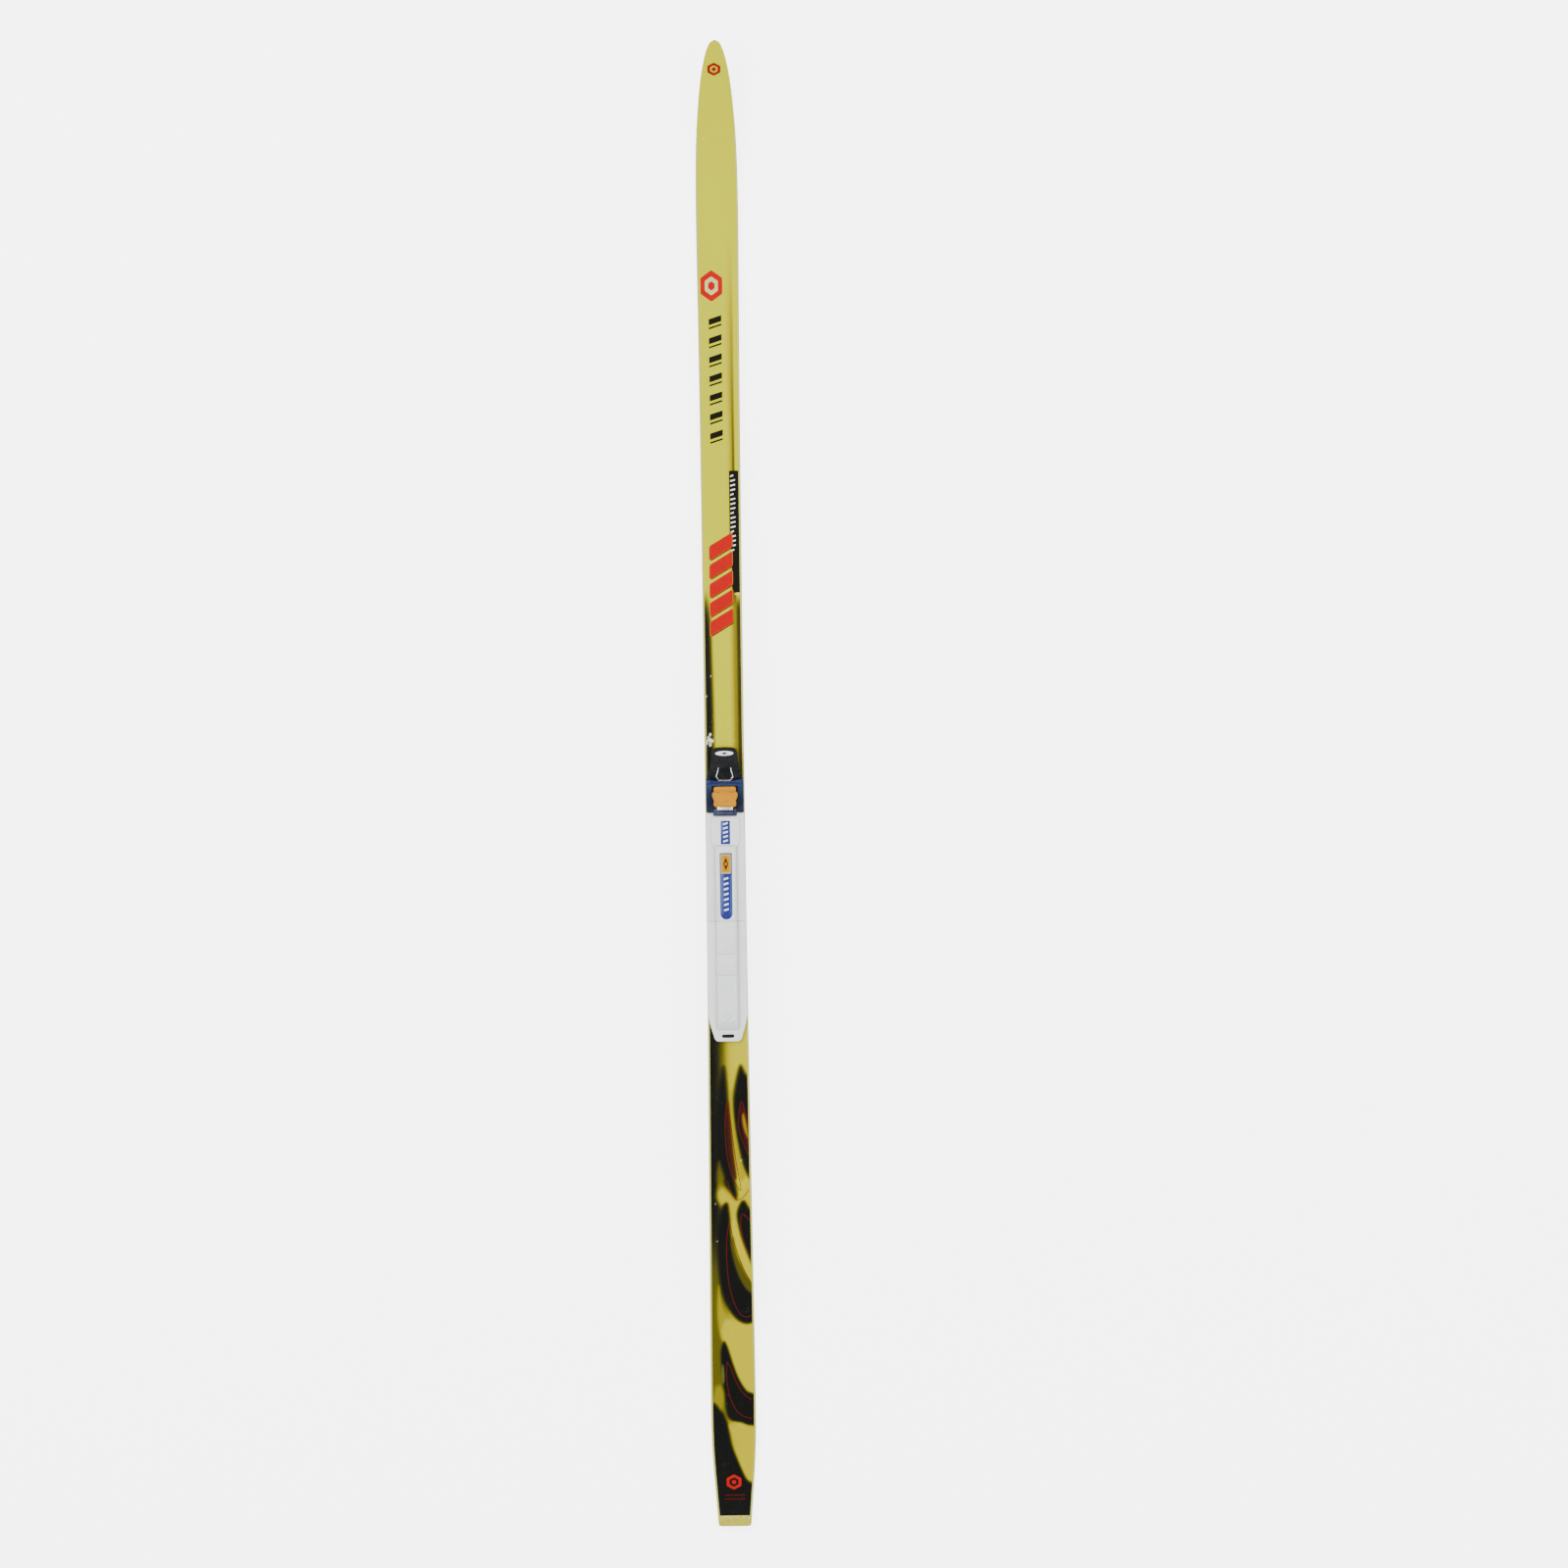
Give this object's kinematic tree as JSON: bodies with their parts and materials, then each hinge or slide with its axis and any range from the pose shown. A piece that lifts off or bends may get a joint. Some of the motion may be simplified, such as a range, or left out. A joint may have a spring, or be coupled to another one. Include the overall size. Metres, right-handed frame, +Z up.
{
  "type": "cross country ski",
  "caption": "Cambered cross country ski with stepped grip base, printed top, toe-bar binding with press lever and sliding jaw, rubber flexor and ridged boot plates.",
  "frame": {"origin": "on the snow plane, under the middle of the ski's projected length", "axes": "+Y to the tip, +X to the ski's right, +Z up from the snow"},
  "size_m": [0.0512, 1.694, 0.0574],
  "materials": {
    "base_plastic": "fine structured sintered base",
    "fibre_laminate": "glass fibre laminate",
    "core_wood": "light core wood",
    "reinforcement": "dense laminate",
    "filler_plastic": "moulded filler",
    "sidewall_plastic": "satin sidewall",
    "top_sheet_print": "printed gloss top sheet",
    "edge_plastic": "pale edge strip",
    "tail_plastic": "moulded cap",
    "base_moulding": "moulded nylon",
    "navy_moulding": "satin moulded nylon",
    "black_moulding": "fine textured nylon",
    "slate_moulding": "satin moulded nylon",
    "white_moulding": "satin moulded plastic",
    "blue_inlay": "gloss inlay",
    "badge_plastic": "gloss badge",
    "orange_elastomer": "satin elastomer",
    "steel": "plated steel",
    "silver_wire": "bright wire",
    "spring_steel": "spring wire",
    "screw_steel": "zinc plated"
  },
  "bodies": {
    "ski": {"running_base": "base_plastic", "lower_laminate": "fibre_laminate", "wood_core": "core_wood", "screw_plate": "reinforcement", "tip_filler": "filler_plastic", "tail_filler": "filler_plastic", "sidewall_left": "sidewall_plastic", "sidewall_right": "sidewall_plastic", "upper_laminate": "fibre_laminate", "top_sheet": "top_sheet_print", "top_edge_left": "edge_plastic", "top_edge_right": "edge_plastic", "tail_guard": "tail_plastic", "binding_base": "base_moulding", "housing": "navy_moulding", "lever_pin": "steel", "jaw_spring": "spring_steel", "bar_seat": "slate_moulding", "flexor": "orange_elastomer", "guide_plate": "white_moulding", "front_label": "blue_inlay", "ridge_label": "blue_inlay", "heel_plate": "white_moulding", "heel_screw_cover": "white_moulding", "heel_insert": "black_moulding", "housing_screws": "screw_steel", "guide_plate_screws": "screw_steel", "heel_plate_screws": "screw_steel"},
    "lever": {"release_lever": "black_moulding", "lever_badge": "badge_plastic", "lever_wire": "silver_wire"},
    "jaw": {"jaw_slide": "steel"}
  },
  "joints": [
    {"name": "lever_press", "type": "hinge", "parent": "ski", "child": "lever", "pos_m": [0, 0.035, 0.0465], "axis": [1, 0, 0], "range_deg": [0, 9], "stiffness_Nm_per_rad": 0.6, "springref_deg": -11.46},
    {"name": "jaw_travel", "type": "slide", "parent": "ski", "child": "jaw", "axis": [0, 1, 0], "range_m": [0, 0.0041], "deforming": ["jaw_spring"]}
  ],
  "couplings": [
    {"joint": "jaw_travel", "follows": "lever_press", "m_per_rad": 0.0255}
  ]
}
